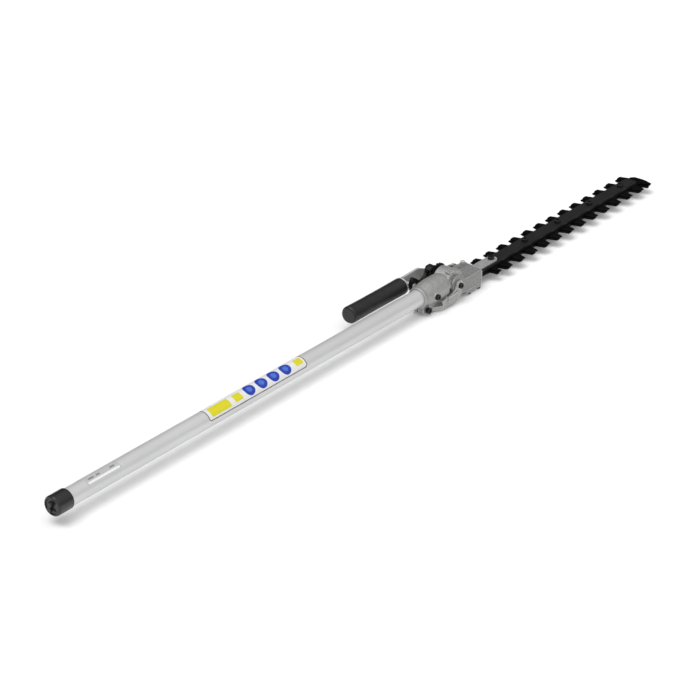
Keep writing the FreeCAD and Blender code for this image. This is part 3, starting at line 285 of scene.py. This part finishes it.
def grip_material():
    """Moulded rubber grip: matte, with a close grain."""
    nodes = Nodes("grip_rubber")
    grain = nodes.noise(1100, 5, roughness=0.7)
    colour = nodes.ramp(nodes.noise(70, 3), (0.3, (0.005, 0.005, 0.005)), (0.7, (0.012, 0.012, 0.012)))
    return nodes.finish(colour, nodes.spread(grain, 0.34, 0.50), nodes.bump(grain, 0.05 * MM, 0.7), gloss=0.5)


def print_material(name, colour, rough=0.32):
    """A printed film in one ink, with a slight mottle."""
    nodes = Nodes(name)
    mottle = nodes.noise(420, 4)
    darker = tuple(0.93 * c for c in colour)
    shade = nodes.ramp(mottle, (0.35, darker), (0.65, colour))
    return nodes.finish(shade, nodes.spread(mottle, rough - 0.04, rough + 0.06),
                        nodes.bump(mottle, 0.01 * MM, 0.4))


def dress_nodes():
    """Give each CAD node the material of its finish."""
    metals = {
        "pole": pole_material(),
        "cast_case": cast_material("cast_case", (0.29, 0.29, 0.286), (0.38, 0.38, 0.372),
                                   1500, 0.06 * MM, 0.42),
        "arm_metal": cast_material("arm_metal", (0.56, 0.56, 0.555), (0.66, 0.66, 0.65),
                                   1300, 0.04 * MM, 0.42),
        "bright_steel": steel_material(),
        "black_steel": black_steel_material(),
        "blade_black": blade_material(),
        "cap_plastic": plastic_material(),
        "grip": grip_material(),
        "label": print_material("label_white", (0.80, 0.80, 0.79)),
    }
    head = cast_material("head_case", (0.19, 0.19, 0.188), (0.27, 0.27, 0.266), 1500, 0.06 * MM, 0.36)
    # the cover gets a weaker painted edge highlight than the head
    cover = cast_material("cover_case", (0.19, 0.19, 0.188), (0.27, 0.27, 0.266), 1500, 0.06 * MM, 0.36,
                          edge=1.2)
    small = print_material("label_silver", (0.50, 0.50, 0.505), 0.36)
    satin = cast_material("satin_steel", (0.36, 0.36, 0.36), (0.46, 0.46, 0.455), 900, 0.02 * MM, 0.36)
    special = {"blade_bar": bar_material(), "rating_label": small}
    for node in ("guide_tongue", "grip_collar", "front_plate", "pivot_washer", "lever_pin"):
        special[node] = satin
    for node in ("blade_gear_case", "bottom_cover"):
        special[node] = head
    for node in ("near_cover", "near_cover_screws"):
        special[node] = cover
    for part in frame["record"]["subparts"]:
        node = part["node"]
        material = special.get(node, metals[part["material_slot"]])
        mesh = frame["nodes"][node].data
        mesh.materials.clear()
        mesh.materials.append(material)


# ---- pieces ----
def add_piece(name, bm, material, body):
    """Turn a built mesh into a piece that rides on a body."""
    mesh = bpy.data.meshes.new(name)
    bmesh.ops.recalc_face_normals(bm, faces=bm.faces)
    bm.to_mesh(mesh)
    bm.free()
    mesh.materials.append(material)
    piece = bpy.data.objects.new(name, mesh)
    bpy.context.collection.objects.link(piece)
    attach(piece, body)
    return piece


def label_radius(node):
    """The label's outer radius: it lies round the top of the tube, so its highest point gives it."""
    _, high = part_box(node)
    return high[2]


def wrapped_patch(bm, outline, radius, thickness):
    """A thin closed patch on the pole. The outline is a row of stations: x, low angle, high angle."""
    rows = []
    for x, low, high in outline:
        rings = []
        for r in (radius, radius + thickness):
            ring = []
            for i in range(PATCH_STEPS + 1):
                angle = math.radians(low + (high - low) * i / PATCH_STEPS)
                ring.append(bm.verts.new((x, r * math.cos(angle), r * math.sin(angle))))
            rings.append(ring)
        rows.append(rings)
    for (a_in, a_out), (b_in, b_out) in zip(rows, rows[1:]):
        for i in range(PATCH_STEPS):
            bm.faces.new((a_out[i], a_out[i + 1], b_out[i + 1], b_out[i]))
            bm.faces.new((a_in[i], b_in[i], b_in[i + 1], a_in[i + 1]))
        for i in (0, PATCH_STEPS):
            bm.faces.new((a_in[i], a_out[i], b_out[i], b_in[i]))
    for inner, outer in (rows[0], rows[-1]):
        for i in range(PATCH_STEPS):
            bm.faces.new((inner[i], outer[i], outer[i + 1], inner[i + 1]))


def rounded_stations(x0, x1, low, high, corner, radius):
    """Stations of a patch with rounded corners: corner is in metres."""
    turn = math.degrees(corner / radius)
    ends = []
    for i in range(CORNER_STEPS + 1):
        phase = math.pi / 2 * i / CORNER_STEPS
        ends.append((x0 + corner * (1 - math.cos(phase)), turn * (1 - math.sin(phase))))
    outline = [(x, low + inset, high - inset) for x, inset in ends]
    outline += [(x0 + x1 - x, low + inset, high - inset) for x, inset in reversed(ends)]
    return outline


def disc_stations(x, angle, disc_r, radius):
    """Stations of a round patch."""
    stations = []
    for i in range(1, DISC_STEPS):
        phase = math.pi * i / DISC_STEPS
        half = math.degrees(disc_r * math.sin(phase) / radius)
        stations.append((x - disc_r * math.cos(phase), angle - half, angle + half))
    return stations


def patch(name, stations, material, radius, thickness=PRINT_T):
    """One printed patch on the pole."""
    bm = bmesh.new()
    wrapped_patch(bm, stations, radius, thickness)
    return add_piece(name, bm, material, "pole")


def dress_long_label():
    """Generic coloured panels and dots on the long label: no symbols and no lettering."""
    low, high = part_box("warning_label")
    x0, x1 = low[0], high[0]
    ground_r = label_radius("warning_label")
    border_r = ground_r + PRINT_T
    ink_r = border_r + PRINT_T
    black = print_material("ink_black", (0.02, 0.02, 0.02))
    white = print_material("ink_ground", (0.80, 0.80, 0.79))
    yellow = print_material("ink_yellow", (0.72, 0.66, 0.01))
    blue = print_material("ink_blue", (0.012, 0.045, 0.42))
    pale_blue = print_material("ink_pale_blue", (0.06, 0.16, 0.62))
    turn = math.degrees(BORDER_W / ground_r)
    outer = rounded_stations(x0 + BORDER_IN, x1 - BORDER_IN, BORDER_FAR, BORDER_NEAR, 4 * MM, ground_r)
    inner = rounded_stations(x0 + BORDER_IN + BORDER_W, x1 - BORDER_IN - BORDER_W, BORDER_FAR + turn,
                             BORDER_NEAR - turn, 3 * MM, ground_r)
    patch("label_border", outer, black, ground_r)
    patch("label_ground", inner, white, border_r)
    for name, start, end, far, near in PANELS:
        stations = rounded_stations(x0 + start * MM, x0 + end * MM, far, near, PANEL_CORNER, ink_r)
        patch("label_panel_" + name, stations, yellow, ink_r)
    for i in range(DISC_COUNT):
        x = x0 + DISC_FIRST + i * DISC_PITCH
        patch("label_disc_%d" % (i + 1), disc_stations(x, DISC_ANGLE, DISC_R, ink_r), blue, ink_r)
        patch("label_disc_centre_%d" % (i + 1), disc_stations(x, DISC_ANGLE, DISC_CENTRE_R, ink_r),
              pale_blue, ink_r + PRINT_T)


def dress_small_label():
    """A white strip and faint grey blocks on the small label."""
    low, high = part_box("rating_label")
    radius = label_radius("rating_label")
    white = print_material("ink_white", (0.86, 0.86, 0.85), 0.28)
    grey = print_material("ink_grey", (0.20, 0.20, 0.205))
    x0, x1 = low[0], high[0]
    patch("small_label_strip", rounded_stations(x0 + 1 * MM, x1 - 1.5 * MM, 124, 139, 1.4 * MM, radius),
          white, radius)
    for i, (start, length) in enumerate(SMALL_BLOCKS):
        patch("small_label_block_%d" % (i + 1),
              rounded_stations(x0 + start * MM, x0 + (start + length) * MM, 103, 113, 0.8 * MM, radius),
              grey, radius)


# ---- stage, light and camera ----
def make_stage():
    """A white floor that the lowest point of the tool stands on."""
    low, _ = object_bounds()
    bm = bmesh.new()
    bmesh.ops.create_grid(bm, x_segments=1, y_segments=1, size=30.0)
    mesh = bpy.data.meshes.new("floor")
    bm.to_mesh(mesh)
    bm.free()
    nodes = Nodes("floor_white")
    tone = nodes.noise(2.0, 2)
    shade = nodes.ramp(tone, (0.3, (0.90, 0.90, 0.90)), (0.7, (0.91, 0.91, 0.91)))
    material = nodes.finish(shade, nodes.spread(tone, 0.8, 0.9), gloss=0.1)
    nodes.shader.inputs["Emission Color"].default_value = (1.0, 1.0, 1.0, 1.0)
    nodes.shader.inputs["Emission Strength"].default_value = FLOOR_GLOW
    mesh.materials.append(material)
    floor = bpy.data.objects.new("floor", mesh)
    floor.location = (0.6, 0.0, low[2] - 0.2 * MM)
    bpy.context.collection.objects.link(floor)


def make_sky():
    """White studio surroundings, bright above and on the camera's side, dim behind."""
    world = bpy.data.worlds.new("studio")
    world.use_nodes = True
    tree = world.node_tree
    background = tree.nodes["Background"]
    background.inputs["Color"].default_value = (1.0, 1.0, 1.0, 1.0)
    place = tree.nodes.new("ShaderNodeTexCoord")
    towards = tree.nodes.new("ShaderNodeVectorMath")
    towards.operation = "DOT_PRODUCT"
    towards.inputs[1].default_value = SKY_TOWARDS
    level = tree.nodes.new("ShaderNodeMapRange")
    level.inputs["To Min"].default_value = SKY_LOW
    level.inputs["To Max"].default_value = SKY_HIGH
    tree.links.new(place.outputs["Generated"], towards.inputs[0])
    tree.links.new(towards.outputs["Value"], level.inputs["Value"])
    tree.links.new(level.outputs["Result"], background.inputs["Strength"])
    bpy.context.scene.world = world


def make_light():
    """The sky and one broad sun from above."""
    make_sky()
    bpy.context.scene.view_settings.view_transform = "Standard"
    data = bpy.data.lights.new("sun", "SUN")
    data.energy = SUN_STRENGTH
    data.angle = math.radians(SUN_SPREAD)
    sun = bpy.data.objects.new("sun", data)
    sun.rotation_euler = Vector(SUN_FROM).to_track_quat("Z", "Y").to_euler()
    bpy.context.collection.objects.link(sun)


def make_camera():
    """The camera that sees the tool as it was photographed."""
    data = bpy.data.cameras.new("photo_camera")
    data.lens = CAMERA_LENS_MM
    data.sensor_width = SENSOR_MM
    data.clip_end = 100.0
    camera = bpy.data.objects.new("photo_camera", data)
    camera.location = CAMERA_PLACE
    camera.rotation_euler = (CAMERA_TARGET - CAMERA_PLACE).to_track_quat("-Z", "Y").to_euler()
    bpy.context.collection.objects.link(camera)
    bpy.context.scene.camera = camera


def main():
    dress_nodes()
    dress_long_label()
    dress_small_label()
    make_stage()
    make_light()
    make_camera()


main()
